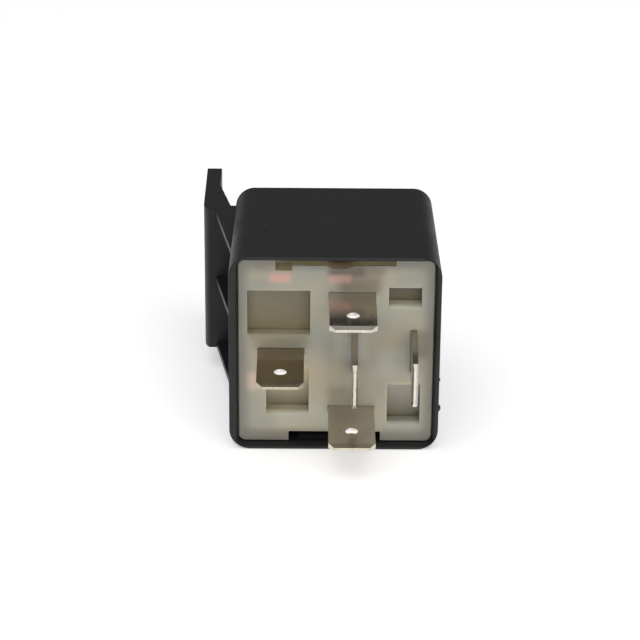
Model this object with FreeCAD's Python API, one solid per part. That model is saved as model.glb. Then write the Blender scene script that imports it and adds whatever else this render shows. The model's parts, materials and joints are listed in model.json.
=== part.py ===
"""Five-blade plug-in relay with a moulded mounting bracket, as an assembly of separate pieces.

The relay lies on its side: the blades point along -Y, the closed end of the cover is at +Y,
+X is the side of terminal 87 and +Z is the side of terminal 86. The origin is the centre of
the cover's open rim. All sizes are in millimetres.

Inside, the coil stands on the floor of an L-shaped yoke. The armature hinges on the rounded
top edge of the yoke's upright leg. At rest a leaf spring holds the moving contact against the
normally closed contact; the energised coil pulls the armature flat onto the pole.
"""
import FreeCAD, Part
import math
import os

V = FreeCAD.Vector

# ---- cover ---------------------------------------------------------------------------------------
CASE_DEPTH = 26.9          # rim to closed end, outside
CASE_LEFT = -14.45         # outer side on the bracket side; this wall is thicker
CASE_X = (CASE_LEFT, 14.15)  # outer sides, at the rim
CASE_Z = (-14.4, 14.2)
CASE_CORNER = 2.9          # outer radius of the four long corners
CASE_END_EDGE = 0.9        # outer radius round the closed end
CASE_END_WALL = 1.0
DRAFT = 0.36               # how far each side leans in between the rim and the closed end
CAVITY_X = (-13.3, 13.4)   # inner sides, at the rim
CAVITY_Z = (-13.7, 13.55)
CAVITY_CORNER = 1.0
LEAD_IN = 0.25             # extra opening at the rim, for the base to slide in
LEAD_IN_DEPTH = 0.9
RIM_EDGE = 0.2             # radius of the rim's outer edge
LATCH_WIDTH = 10.0
LATCH_HEIGHT = 0.4
LATCH_START = 1.6          # where the latch bumps start, measured from the rim
LATCH_LENGTH = 1.6
NUBS = ((-3.9, 0.35, 0.15), (-8.3, 0.6, 0.3))  # z, radius and height of two moulding nubs on the right rim
GATE_RADIUS = 1.6          # shallow dimple left by the moulding gate on the closed end
GATE_DEPTH = 0.3
GATE_STUB_RADIUS = 0.5     # torn stub in the middle of the dimple

# ---- bracket, moulded on the cover ---------------------------------------------------------------
TAB_OUTER = -18.75
TAB_THICK = 2.1
TAB_HALF_WIDTH = 10.85
TAB_START = 25.3
TAB_END = 42.6
TAB_CORNER = 1.5           # radius of the tab's far corners
NOSE_DEEP = 0.9            # the tab's outer front edge is a quarter ellipse: its depth into the thickness
NOSE_LONG = 2.0            # and its length along the tab
WEB_END = 26.7
RIB_THICK = 0.8
RIB_TAB_X = -17.05         # where a rib's slanting edge meets the front of the tab
RIB_CASE_Y = 10.9          # where it meets the side of the case
GUSSET_CASE_X = -14.9      # back gussets of the outer ribs
GUSSET_END = 34.8
BRACKET_ROOT = 1.7         # how far ribs and web run into the case before the cavity is cut
TAB_ROOT = 0.3             # how far web and gussets run into the tab
HOLE_RADIUS = 2.7          # clearance for an M5 screw
HOLE_Y = 35.0

# ---- base ----------------------------------------------------------------------------------------
BASE_FACE = 1.1            # outer face, set back from the rim
BASE_INNER = 4.1
BASE_X = (-13.2, 13.3)
BASE_Z = (-13.6, 13.45)
BASE_CORNER = 1.0
BASE_EDGE = 0.2            # radius round the outer face
POCKET_DEPTH = 2.0
POCKETS = (                # x and z ranges of the four pockets in the outer face
    ((-11.95, -3.45), (2.35, 8.95)),
    ((7.1, 11.55), (6.8, 9.45)),
    ((-9.4, -3.6), (-9.05, -2.2)),
    ((7.1, 11.6), (-10.7, -4.9)),
)
POCKET_LIP = 0.6           # radius of each pocket's lower outer edge
TOP_NOTCH = ((-8.15, 8.0), 12.6)     # x range and floor of the shallow notch in the top edge
KEY_NOTCH = ((-8.15, -5.9), 11.85)   # its deeper end, which stops short of the inner face
KEY_DEPTH = 2.4
BOTTOM_NOTCH = ((-6.35, 6.25), -12.15)
SCALLOP = (0.5, 16.2, 4.12)          # x, z and radius of the arc that dips into the top notch
SLOT_GAP = 0.03            # clearance round each blade in the base
SEAT_FLANGE = 5.7          # inner ledges under the bobbin's flange end here
WALL_TOP = 6.6             # and the three low walls round the yoke's bend here
CHANNEL_FLOOR = 2.95       # bottom of the channel that terminal 87a lies in
CHANNEL_BEND = 2.5         # deeper under the bend itself
FOOT_RECESS = 3.85         # recess for the foot of terminal 30

# ---- blades: 6.3 x 0.8 tabs in the five-way pattern ----------------------------------------------
BLADE_WIDTH = 6.3
BLADE_THICK = 0.8
BLADE_TIP = -10.46
TIP_85 = -10.8             # terminal 85 reaches a little further out
TIP_87 = -9.9              # and terminal 87 a little less
BLADE_HOLE_RADIUS = 0.85
BLADE_HOLE_Y = -6.3
TIP_CORNER_FLAT = (0.8, 1.05)     # corner cuts across and along the blade: 30, 85 and 86
TIP_CORNER_UPRIGHT = (0.7, 0.55)  # the same for 87 and 87a
TIP_BEVEL_LONG = 0.9
TIP_END_THICK = 0.36
LEAN_87 = 1.2              # degrees that the upright blades lean towards -X outside the base
LEAN_87A = 0.8
DROOP_85 = 0.75            # degrees that blade 85 leans towards -Z outside the base
LEAN_BEND = 20.0           # bend radius where the lean starts
LEAN_ROOT = 0.3            # y where a flat blade is straight again
X_87 = 10.6
X_87A = X_87 - 8.0
X_COIL_TABS = X_87 - 8.4   # terminals 85 and 86
X_30 = X_87 - 18.0
Z_COIL_TABS = {1: 8.3, -1: -8.65}  # 86 on the +Z side and 85 on the -Z side

# ---- inner ends of the terminals -----------------------------------------------------------------
FOOT_BEND = 0.4            # bend radius of terminals 30 and 87a
FOOT_REACH = 5.2           # z where the foot of terminal 30 ends
POST_X = 3.7               # posts of terminals 85 and 86, for the coil wire
POST_HALF = 0.6
POST_TOP = 11.2
POST_SHOULDER = (6.0, 7.0)  # the blade narrows to its post between these
SHELF_BEND = 0.5           # bend radius of terminal 87
SHELF_HALF = 2.6           # half width of its post and shelf
STRAP_LOW = 3.0            # terminal 87a: its strap lies on the base's channel floor here
RISER_X = 12.2             # and its riser stands beside the coil
RISER_Z = (3.55, 6.5)
ARM_BACK = -2.2            # z where its upper arm ends

# ---- magnet system -------------------------------------------------------------------------------
YOKE_THICK = 1.5
YOKE_FLOOR = 5.2           # underside of the yoke's floor
YOKE_HALF_WIDTH = 6.4
YOKE_LEFT = -11.2          # outer face of the upright leg
YOKE_RIGHT = 3.6
YOKE_TOP = 19.6
YOKE_BEND = 0.4            # inner bend radius
HINGE_ROUND = 0.3          # radius of the edge that the armature rolls on
COIL_X = -2.4
CORE_RADIUS = 3.0
TENON_RADIUS = 2.2
POLE_RADIUS = 4.4
BOBBIN_BORE = 3.05
BARREL_RADIUS = 4.0
FLANGE_HALF = 7.2
FLANGE_LOW = (6.75, 7.75)
FLANGE_HIGH = (17.45, 18.35)
WINDING_RADIUS = 6.3
LEAD_SLOT = 5.6            # the flange's slots for the winding's ends start this far from the middle

# ---- armature and contacts -----------------------------------------------------------------------
FIT = 0.02                 # running gap between faces that touch on the real relay
TRAVEL_DEG = 2.8
HINGE_X = YOKE_LEFT + HINGE_ROUND
HINGE_Y = YOKE_TOP - HINGE_ROUND
ARM_LOW = YOKE_TOP + FIT
ARM_HIGH = ARM_LOW + 1.4
ARM_RIGHT = 4.4
ARM_HALF_WIDTH = 5.4
LEAF_THICK = 0.3
LEAF_LOW = ARM_HIGH + 0.01
LEAF_HIGH = LEAF_LOW + LEAF_THICK
CONTACT_X = 8.45
CONTACT_HEAD = 0.7
CONTACT_RADIUS = 1.6
MOVING_RADIUS = 1.45
SHANK_RADIUS = 0.8
TAIL_RADIUS = 1.2
TAIL_HEIGHT = 0.35
HOLE_FIT = 0.01            # radial gap of a riveted shank in its hole
WIRE_RADIUS = 0.16


# ---- helpers -------------------------------------------------------------------------------------
def box(x, y, z):
    """A box from three (low, high) pairs."""
    return Part.makeBox(x[1] - x[0], y[1] - y[0], z[1] - z[0], V(x[0], y[0], z[0]))


def rod_x(y, z, x, radius):
    return Part.makeCylinder(radius, x[1] - x[0], V(x[0], y, z), V(1, 0, 0))


def rod_y(x, z, y, radius):
    return Part.makeCylinder(radius, y[1] - y[0], V(x, y[0], z), V(0, 1, 0))


def prism_z(points, z):
    """A polygon of (x, y) points, extruded over the (low, high) range z."""
    corners = [V(px, py, z[0]) for px, py in points]
    return Part.Face(Part.makePolygon(corners + corners[:1])).extrude(V(0, 0, z[1] - z[0]))


def rounded_wire(x, z, radius, y):
    """A rectangle with round corners in the plane at y, from the (low, high) pairs x and z."""
    bow = radius * (1 - math.sqrt(0.5))
    corners = [(x[1], z[1], -1, -1), (x[0], z[1], 1, -1), (x[0], z[0], 1, 1), (x[1], z[0], -1, 1)]
    ends, arcs = [], []
    for index, (cx, cz, sx, sz) in enumerate(corners):
        on_x = V(cx + sx * radius, y, cz)
        on_z = V(cx, y, cz + sz * radius)
        start, stop = (on_z, on_x) if index % 2 == 0 else (on_x, on_z)
        middle = V(cx + sx * bow, y, cz + sz * bow)
        arcs.append(Part.Arc(start, middle, stop).toShape())
        ends.append((start, stop))
    edges = []
    for index in range(4):
        edges.append(arcs[index])
        edges.append(Part.makeLine(ends[index][1], ends[(index + 1) % 4][0]))
    return Part.Wire(Part.__sortEdges__(edges))


def rounded_block(x, y, z, radius):
    """A block with round corners about the Y axis."""
    face = Part.Face(rounded_wire(x, z, radius, y[0]))
    return face.extrude(V(0, y[1] - y[0], 0))


def tapered_block(x, z, radius, y, lean):
    """Like rounded_block, but every side leans in by lean over its length."""
    small = rounded_wire((x[0] + lean, x[1] - lean), (z[0] + lean, z[1] - lean), radius - lean / 2, y[1])
    return Part.makeLoft([rounded_wire(x, z, radius, y[0]), small], True, True)


def edges_where(shape, test):
    return [edge for edge in shape.Edges if all(test(vertex.Point) for vertex in edge.Vertexes)]


def near(a, b):
    return abs(a - b) < 1e-4


def bent_sheet(path, thick, radii, z):
    """Sheet metal seen edge-on: a centre line of (x, y) points with a round bend of the given inner
    radius at each inner point, extruded over z."""
    half = thick / 2
    points = [V(px, py, z[0]) for px, py in path]
    headings = [(b - a).normalize() for a, b in zip(points, points[1:])]
    sides = [V(-h.y, h.x, 0) for h in headings]
    edges_of = {1: [], -1: []}
    starts = {s: points[0] + sides[0] * (s * half) for s in (1, -1)}
    for i, radius in enumerate(radii, 1):
        turn = headings[i - 1].cross(headings[i]).z
        angle = headings[i - 1].getAngle(headings[i])
        toward = 1 if turn > 0 else -1
        back = (radius + half) * math.tan(angle / 2)
        centre = points[i] - headings[i - 1] * back + sides[i - 1] * (toward * (radius + half))
        mid = (points[i] - centre).normalize()
        for s in (1, -1):
            reach = radius if s == toward else radius + thick
            first = centre - sides[i - 1] * (toward * reach)
            last = centre - sides[i] * (toward * reach)
            edges_of[s].append(Part.makeLine(starts[s], first))
            edges_of[s].append(Part.Arc(first, centre + mid * reach, last).toShape())
            starts[s] = last
    stops = {s: points[-1] + sides[-1] * (s * half) for s in (1, -1)}
    for s in (1, -1):
        edges_of[s].append(Part.makeLine(starts[s], stops[s]))
    first_edge = Part.makeLine(points[0] + sides[0] * half, points[0] - sides[0] * half)
    last_edge = Part.makeLine(stops[1], stops[-1])
    loop = Part.__sortEdges__(edges_of[1] + edges_of[-1] + [first_edge, last_edge])
    return Part.Face(Part.Wire(loop)).extrude(V(0, 0, z[1] - z[0]))


def fused(shapes):
    result = shapes[0]
    if len(shapes) > 1:
        result = result.multiFuse(shapes[1:])
    return result.removeSplitter()


def dome_profile(radius, height):
    """Half section of a contact head along +Y from 0: a short cylinder under a shallow dome."""
    rise = 0.3 * height
    sphere = (radius * radius + rise * rise) / (2 * rise)
    tilt = math.asin(radius / sphere) / 2
    side = Part.makeLine(V(radius, 0, 0), V(radius, height - rise, 0))
    on_dome = V(sphere * math.sin(tilt), height - sphere + sphere * math.cos(tilt), 0)
    cap = Part.Arc(V(radius, height - rise, 0), on_dome, V(0, height, 0)).toShape()
    return [Part.makeLine(V(0, 0, 0), V(radius, 0, 0)), side, cap, Part.makeLine(V(0, height, 0), V(0, 0, 0))]


def contact_head(radius, height, x, y, facing):
    """A domed head whose flat side is at y; facing is +1 or -1 along Y."""
    head = Part.Face(Part.Wire(dome_profile(radius, height))).revolve(V(0, 0, 0), V(0, 1, 0), 360)
    if facing < 0:
        head.rotate(V(0, 0, 0), V(1, 0, 0), 180)
    head.translate(V(x, y, 0))
    return head


# ---- cover ---------------------------------------------------------------------------------------
def tab_plate():
    """The bracket's flat tab with its rounded nose and far corners."""
    inner = TAB_OUTER + TAB_THICK
    nose = Part.Ellipse(
        V(TAB_OUTER + NOSE_DEEP, TAB_START, 0),
        V(TAB_OUTER, TAB_START + NOSE_LONG, 0),
        V(TAB_OUTER + NOSE_DEEP, TAB_START + NOSE_LONG, 0),
    )
    curve = Part.ArcOfEllipse(nose, 0, math.pi / 2).toShape()
    near_nose, far_nose = V(TAB_OUTER + NOSE_DEEP, TAB_START, 0), V(TAB_OUTER, TAB_START + NOSE_LONG, 0)
    corners = [far_nose, V(TAB_OUTER, TAB_END, 0), V(inner, TAB_END, 0), V(inner, TAB_START, 0), near_nose]
    lines = [Part.makeLine(a, b) for a, b in zip(corners, corners[1:])]
    profile = Part.Face(Part.Wire(Part.__sortEdges__([curve] + lines)))
    tab = profile.extrude(V(0, 0, 2 * TAB_HALF_WIDTH))
    tab.translate(V(0, 0, -TAB_HALF_WIDTH))
    far = edges_where(tab, lambda p: near(p.y, TAB_END) and near(abs(p.z), TAB_HALF_WIDTH))
    far = [edge for edge in far if abs(edge.tangentAt(edge.FirstParameter).x) > 0.9]
    return tab.makeFillet(TAB_CORNER, far)


def bracket():
    tab_inner = TAB_OUTER + TAB_THICK
    inside_case = CASE_LEFT + BRACKET_ROOT
    web = box((tab_inner - TAB_ROOT, inside_case), (TAB_START, WEB_END), (-TAB_HALF_WIDTH, TAB_HALF_WIDTH))
    pieces = [tab_plate(), web]
    slope = (RIB_CASE_Y - TAB_START) / (CASE_LEFT - RIB_TAB_X)
    rib_points = [
        (RIB_TAB_X, TAB_START),
        (inside_case, TAB_START + slope * (inside_case - RIB_TAB_X)),
        (inside_case, WEB_END),
        (RIB_TAB_X, WEB_END),
    ]
    outer = TAB_HALF_WIDTH - RIB_THICK
    for low in (-TAB_HALF_WIDTH, -RIB_THICK / 2, outer):
        pieces.append(prism_z(rib_points, (low, low + RIB_THICK)))
    gusset_points = [
        (tab_inner - TAB_ROOT, WEB_END - TAB_ROOT),
        (GUSSET_CASE_X, WEB_END - TAB_ROOT),
        (GUSSET_CASE_X, WEB_END),
        (tab_inner, GUSSET_END),
        (tab_inner - TAB_ROOT, GUSSET_END),
    ]
    for low in (-TAB_HALF_WIDTH, outer):
        pieces.append(prism_z(gusset_points, (low, low + RIB_THICK)))
    hole = rod_x(HOLE_Y, 0, (TAB_OUTER - 1, tab_inner + 1), HOLE_RADIUS)
    return fused(pieces).cut(hole)


def latch(wall, inward):
    """A wedge on the inner side at z = wall; inward is the sign of z that leads into the cavity."""
    end = LATCH_START + LATCH_LENGTH
    root, crest = wall - inward * 0.2, wall + inward * LATCH_HEIGHT
    section = [(LATCH_START, root), (LATCH_START + 1.0, crest), (end - 0.1, crest), (end, root)]
    corners = [V(-LATCH_WIDTH / 2, y, z) for y, z in section]
    return Part.Face(Part.makePolygon(corners + corners[:1])).extrude(V(LATCH_WIDTH, 0, 0))


def cover():
    shell = tapered_block(CASE_X, CASE_Z, CASE_CORNER, (0, CASE_DEPTH), DRAFT)
    shell = shell.makeFillet(CASE_END_EDGE, edges_where(shell, lambda p: near(p.y, CASE_DEPTH)))
    shell = shell.makeFillet(RIM_EDGE, edges_where(shell, lambda p: near(p.y, 0)))
    cavity_end = CASE_DEPTH - CASE_END_WALL
    cavity = tapered_block(CAVITY_X, CAVITY_Z, CAVITY_CORNER, (-0.01, cavity_end), DRAFT)
    cavity = cavity.makeFillet(0.5, edges_where(cavity, lambda p: near(p.y, cavity_end)))
    wide_x, wide_z = ((low - LEAD_IN, high + LEAD_IN) for low, high in (CAVITY_X, CAVITY_Z))
    mouth = tapered_block(wide_x, wide_z, CAVITY_CORNER + LEAD_IN, (-0.01, LEAD_IN_DEPTH), LEAD_IN)
    nubs = [Part.makeSphere(r, V(CASE_X[1] + proud - r, r + RIM_EDGE, z)) for z, r, proud in NUBS]
    body = fused([shell, bracket()] + nubs).cut(cavity).cut(mouth)
    gate = rod_y(0, 0, (CASE_DEPTH - GATE_DEPTH, CASE_DEPTH + 1), GATE_RADIUS)
    floor = V(0, CASE_DEPTH - GATE_DEPTH, 0)
    stub = Part.makeCone(GATE_STUB_RADIUS, 0.8 * GATE_STUB_RADIUS, 0.7 * GATE_DEPTH, floor, V(0, 1, 0))
    body = fused([body.cut(gate), stub])
    return fused([body, latch(CAVITY_Z[0], 1), latch(CAVITY_Z[1], -1)])


# ---- base ----------------------------------------------------------------------------------------
def blade_slot(x, z, upright):
    """The hole a blade passes through in the base."""
    long_half = BLADE_WIDTH / 2 + SLOT_GAP
    short_half = BLADE_THICK / 2 + SLOT_GAP
    dx, dz = (short_half, long_half) if upright else (long_half, short_half)
    return box((x - dx, x + dx), THROUGH_BASE, (z - dz, z + dz))


def base_seats():
    """Ledges and low walls on the inner face that hold the yoke, the bobbin and the terminals."""
    root = BASE_INNER - 0.2
    yoke_seat = (root, YOKE_FLOOR - FIT)
    flange_seat = (root, SEAT_FLANGE)
    wall = (root, WALL_TOP)
    return [
        box((-9.0, 1.5), yoke_seat, (-6.2, -4.9)),
        box((-9.0, 1.5), yoke_seat, (5.5, 6.2)),
        box((-1.7, 6.1), flange_seat, (-9.5, -7.45)),
        box((-1.7, 6.1), flange_seat, (7.45, 9.5)),
        box((9.4, 11.7), flange_seat, (-4.0, 2.9)),
        box((-12.9, -11.9), wall, (-7.5, 7.5)),
        box((-12.9, -8.5), wall, (-7.9, -6.6)),
        box((-12.9, -8.5), wall, (6.6, 7.9)),
    ]


def terminal_channels():
    """Room on the inner side for the strap of terminal 87a and the foot of terminal 30."""
    above = THROUGH_BASE[1]
    riser_side = RISER_Z[1] + 0.1
    half = BLADE_WIDTH / 2 + SLOT_GAP
    return [
        box((X_87A - 0.6, 6.3), (CHANNEL_FLOOR, above), (-half, riser_side)),
        box((6.0, RISER_X + 0.55), (CHANNEL_FLOOR, above), (RISER_Z[0] - 0.1, riser_side)),
        box((X_87A - BLADE_THICK / 2 - SLOT_GAP, X_87A + 0.9), (CHANNEL_BEND, above), (-half, half)),
        box((-10.6, -4.2), (FOOT_RECESS, above), (0.3, FOOT_REACH + 0.15)),
    ]


def base():
    plate = rounded_block(BASE_X, (BASE_FACE, BASE_INNER), BASE_Z, BASE_CORNER)
    plate = plate.makeFillet(BASE_EDGE, edges_where(plate, lambda p: near(p.y, BASE_FACE)))
    pocket = (THROUGH_BASE[0], BASE_FACE + POCKET_DEPTH)
    plate = plate.cut(Part.makeCompound([box(x, pocket, z) for x, z in POCKETS]))
    floors = [z[0] for x, z in POCKETS]
    lips = edges_where(plate, lambda p: near(p.y, BASE_FACE) and any(near(p.z, floor) for floor in floors))
    plate = plate.makeFillet(POCKET_LIP, lips)
    body = fused([plate] + base_seats())
    key = (THROUGH_BASE[0], BASE_FACE + KEY_DEPTH)
    cuts = [
        box(TOP_NOTCH[0], THROUGH_BASE, (TOP_NOTCH[1], BASE_Z[1] + 1)),
        box(KEY_NOTCH[0], key, (KEY_NOTCH[1], BASE_Z[1] + 1)),
        box(BOTTOM_NOTCH[0], THROUGH_BASE, (BASE_Z[0] - 1, BOTTOM_NOTCH[1])),
    ]
    cuts.append(rod_y(SCALLOP[0], SCALLOP[1], THROUGH_BASE, SCALLOP[2]))
    cuts += [
        blade_slot(X_30, 0, False),
        blade_slot(X_COIL_TABS, Z_COIL_TABS[1], False),
        blade_slot(X_COIL_TABS, Z_COIL_TABS[-1], False),
        blade_slot(X_87, 0, True),
        blade_slot(X_87A, 0, True),
    ]
    return body.cut(Part.makeCompound(cuts + terminal_channels())).removeSplitter()


# ---- terminals -----------------------------------------------------------------------------------
def tip_waste(corner, tip_y):
    """What is cut from the end of a plain strip to make a blade: corners, bevels and detent hole.
    The strip is centred on the Y axis, with its width along X."""
    w, t = BLADE_WIDTH / 2, BLADE_THICK / 2
    beyond = tip_y - 1
    waste = []
    for side in (-1, 1):
        slant = corner[1] / corner[0]
        outline = [
            (side * w, tip_y + corner[1]),
            (side * (w + 1), tip_y + corner[1] + slant),
            (side * (w + 1), beyond),
            (side * (w - corner[0] - 1 / slant), beyond),
        ]
        waste.append(prism_z(outline, (-2 * t, 2 * t)))
        end = TIP_END_THICK / 2
        fall = (t - end) / TIP_BEVEL_LONG
        section = [
            (tip_y + TIP_BEVEL_LONG, side * t),
            (tip_y + TIP_BEVEL_LONG + 1, side * (t + fall)),
            (beyond, side * (t + fall)),
            (beyond, side * (end - fall)),
        ]
        corners = [V(-w - 1, y, z) for y, z in section]
        waste.append(Part.Face(Part.makePolygon(corners + corners[:1])).extrude(V(2 * w + 2, 0, 0)))
    waste.append(Part.makeCylinder(BLADE_HOLE_RADIUS, 4 * t, V(0, BLADE_HOLE_Y, -2 * t)))
    return Part.makeCompound(waste)


def flat_terminal(path, radii, x, z, tip_y=BLADE_TIP, droop=0.0):
    """A terminal bent from one strip whose blade lies flat; path is a list of (y, z) points behind
    y = 0, and droop is how many degrees the blade leans towards -Z."""
    tilt = math.radians(droop)
    blade = [(tip_y * math.cos(tilt), tip_y * math.sin(tilt))]
    if droop:
        blade.append((0, 0))
        radii = [LEAN_BEND] + radii
    sheet = bent_sheet(blade + path, BLADE_THICK, radii, (-BLADE_WIDTH / 2, BLADE_WIDTH / 2))
    # The sheet is drawn in (y, z); this turn puts its plane upright and its width along X.
    sheet.rotate(V(0, 0, 0), V(1, 1, 1), 120)
    waste = tip_waste(TIP_CORNER_FLAT, tip_y)
    waste.rotate(V(0, 0, 0), V(1, 0, 0), droop)
    piece = sheet.cut(waste)
    piece.translate(V(x, 0, z))
    return piece


def upright_terminal(path, radii, lean, z, tip_y=BLADE_TIP):
    """A terminal bent from one strip whose blade stands upright and leans a little; path starts at y = 0."""
    root_x = path[0][0]
    tilt = math.radians(lean)
    tip = (root_x + tip_y * math.sin(tilt), tip_y * math.cos(tilt))
    sheet = bent_sheet([tip] + path, BLADE_THICK, [LEAN_BEND] + radii, z)
    waste = tip_waste(TIP_CORNER_UPRIGHT, tip_y)
    waste.rotate(V(0, 0, 0), V(0, 1, 0), 90)
    waste.rotate(V(0, 0, 0), V(0, 0, 1), -lean)
    waste.translate(V(root_x, 0, 0))
    return sheet.cut(waste)


def terminal_30():
    """Common terminal: its inner end is folded flat under the yoke's floor and riveted there."""
    foot_y = YOKE_FLOOR - FIT - BLADE_THICK / 2
    piece = flat_terminal([(foot_y, 0), (foot_y, FOOT_REACH)], [FOOT_BEND], X_30, 0)
    for x in RIVET_30_X:
        piece = piece.cut(rod_y(x, RIVET_30_Z, (0, 8), SHANK_RADIUS + HOLE_FIT))
    return piece


def coil_terminal(side, tip_y, droop):
    """Terminals 85 and 86: a blade whose inner end narrows to a post for the coil wire."""
    t = BLADE_THICK / 2
    left, right = X_COIL_TABS - BLADE_WIDTH / 2, X_COIL_TABS + BLADE_WIDTH / 2
    post_left, post_right = POST_X - POST_HALF, POST_X + POST_HALF
    low, high = POST_SHOULDER
    outline = [
        (left, LEAN_ROOT), (right, LEAN_ROOT), (right, low), (post_right, high), (post_right, POST_TOP),
        (post_left, POST_TOP), (post_left, high), (left + 1.5, high), (left, low),
    ]
    z = Z_COIL_TABS[side]
    blade = flat_terminal([(LEAN_ROOT, 0)], [], X_COIL_TABS, z, tip_y, droop)
    return fused([blade, prism_z(outline, (z - t, z + t))])


def terminal_87():
    """Normally open terminal: an upright post with a shelf that carries the contact."""
    shelf_y = SHELF_TOP - BLADE_THICK / 2
    w = BLADE_WIDTH / 2
    path = [(X_87, 0), (X_87, shelf_y), (CONTACT_X - 1.9, shelf_y)]
    sheet = upright_terminal(path, [SHELF_BEND], LEAN_87, (-w, w), TIP_87)
    for side in (-1, 1):
        low, high = sorted((side * SHELF_HALF, side * (w + 1)))
        sheet = sheet.cut(box((X_87 - 6, X_87 + 1), (POST_SHOULDER[0], 30), (low, high)))
    return sheet.cut(rod_y(CONTACT_X, 0, (SHELF_TOP - 3, SHELF_TOP + 3), SHANK_RADIUS + HOLE_FIT))


def terminal_87a():
    """Normally closed terminal: runs across the base, up the side and over the moving contact."""
    strap_y = STRAP_LOW + BLADE_THICK / 2
    arm_y = ARM_87A_LOW + BLADE_THICK / 2
    path = [(X_87A, 0), (X_87A, strap_y), (RISER_X, strap_y), (RISER_X, arm_y), (CONTACT_X - 2.1, arm_y)]
    w = BLADE_WIDTH / 2
    sheet = upright_terminal(path, [FOOT_BEND] * 3, LEAN_87A, (-w, RISER_Z[1]))
    beyond_x, beyond_y, beyond_z = RISER_X + 2, arm_y + 8, RISER_Z[1] + 1
    waste = [
        box((X_87A - 1, X_87A + 1), (BLADE_TIP - 1, STRAP_LOW - SLOT_GAP), (w, beyond_z)),
        box((6.2, beyond_x), (0, 20), (-w - 1, RISER_Z[0])),
        box((RISER_X - 1, beyond_x), (19, beyond_y), (-w - 1, RISER_Z[0])),
        box((5, beyond_x), (20, beyond_y), (-w - 1, ARM_BACK)),
    ]
    sheet = sheet.cut(Part.makeCompound(waste))
    return sheet.cut(rod_y(CONTACT_X, 0, (arm_y - 3, arm_y + 3), SHANK_RADIUS + HOLE_FIT))


# ---- magnet system -------------------------------------------------------------------------------
def yoke():
    mid_floor = YOKE_FLOOR + YOKE_THICK / 2
    mid_leg = YOKE_LEFT + YOKE_THICK / 2
    width = (-YOKE_HALF_WIDTH, YOKE_HALF_WIDTH)
    path = [(YOKE_RIGHT, mid_floor), (mid_leg, mid_floor), (mid_leg, YOKE_TOP)]
    body = bent_sheet(path, YOKE_THICK, [YOKE_BEND], width)
    edge = edges_where(body, lambda p: near(p.x, YOKE_LEFT) and near(p.y, YOKE_TOP))
    body = body.makeFillet(HINGE_ROUND, edge)
    holes = [rod_y(COIL_X, 0, (0, 10), TENON_RADIUS + HOLE_FIT)]
    holes += [rod_y(x, RIVET_30_Z, (0, 10), SHANK_RADIUS + HOLE_FIT) for x in RIVET_30_X]
    holes += [rod_x(RIVET_LEAF_Y, z, (-14, -8), SHANK_RADIUS + HOLE_FIT) for z in RIVET_LEAF_Z]
    return body.cut(Part.makeCompound(holes))


def core():
    shaft = rod_y(COIL_X, 0, (YOKE_FLOOR + YOKE_THICK + FIT, FLANGE_HIGH[1] + FIT), CORE_RADIUS)
    tenon = rod_y(COIL_X, 0, (YOKE_FLOOR + 0.05, YOKE_FLOOR + YOKE_THICK + 0.1), TENON_RADIUS)
    pole_top = YOKE_TOP - FIT
    pole = rod_y(COIL_X, 0, (FLANGE_HIGH[1] + FIT, pole_top), POLE_RADIUS)
    pole = pole.makeFillet(0.2, edges_where(pole, lambda p: near(p.y, pole_top)))
    return fused([shaft, tenon, pole])


def bobbin():
    x = (COIL_X - FLANGE_HALF + 0.3, COIL_X + FLANGE_HALF)
    z = (-FLANGE_HALF, FLANGE_HALF)
    low = rounded_block(x, FLANGE_LOW, z, 1.6)
    high = rounded_block(x, FLANGE_HIGH, z, 1.6)
    barrel = rod_y(COIL_X, 0, (FLANGE_LOW[0], FLANGE_HIGH[1]), BARREL_RADIUS)
    body = fused([low, high, barrel])
    slot_x, slot_y = (POST_X - 1.7, POST_X - 0.7), (FLANGE_LOW[0] - 1, FLANGE_LOW[1] + 1)
    for side in (-1, 1):
        low, high = sorted((side * LEAD_SLOT, side * (FLANGE_HALF + 1)))
        body = body.cut(box(slot_x, slot_y, (low, high)))
    return body.cut(rod_y(COIL_X, 0, (0, 30), BOBBIN_BORE))


def coil_winding():
    length = (FLANGE_LOW[1] + FIT, FLANGE_HIGH[0] - FIT)
    return rod_y(COIL_X, 0, length, WINDING_RADIUS).cut(rod_y(COIL_X, 0, length, BARREL_RADIUS + 0.01))


def coil_lead(side):
    """One end of the winding: it leaves the coil, crosses the flange and is wound round its post."""
    coil_radius = math.hypot(POST_HALF, BLADE_THICK / 2) + WIRE_RADIUS + 0.01
    turns, pitch = 4, 0.42
    start_y = 8.1
    z = Z_COIL_TABS[side]
    helix = Part.makeHelix(pitch, pitch * turns, coil_radius)
    helix.rotate(V(0, 0, 0), V(1, 0, 0), -90)
    helix.rotate(V(0, 0, 0), V(0, 1, 0), 180)
    helix.translate(V(POST_X, start_y, z))
    first = helix.Edges[0].valueAt(helix.Edges[0].FirstParameter)
    tangent = helix.Edges[0].tangentAt(helix.Edges[0].FirstParameter)
    ring = Part.Wire(Part.makeCircle(WIRE_RADIUS, first, tangent))
    wound = Part.Wire(helix.Edges).makePipeShell([ring], True, True)
    leave = V(COIL_X + 1.0, start_y + 0.05, side * (WINDING_RADIUS + WIRE_RADIUS + 0.05))
    run = first - leave
    straight = Part.makeCylinder(WIRE_RADIUS, run.Length, leave, run)
    joint = Part.makeSphere(WIRE_RADIUS, first)
    return fused([wound, straight, joint])


# ---- rivets and contacts -------------------------------------------------------------------------
def terminal_rivet(x):
    shank = rod_y(x, RIVET_30_Z, (4.2, YOKE_FLOOR + YOKE_THICK), SHANK_RADIUS)
    head_top = YOKE_FLOOR - FIT - BLADE_THICK - HOLE_FIT
    head = rod_y(x, RIVET_30_Z, (head_top - 0.4, head_top), 1.3)
    head = head.makeFillet(0.15, edges_where(head, lambda p: near(p.y, head_top - 0.4)))
    return fused([shank, head])


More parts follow.
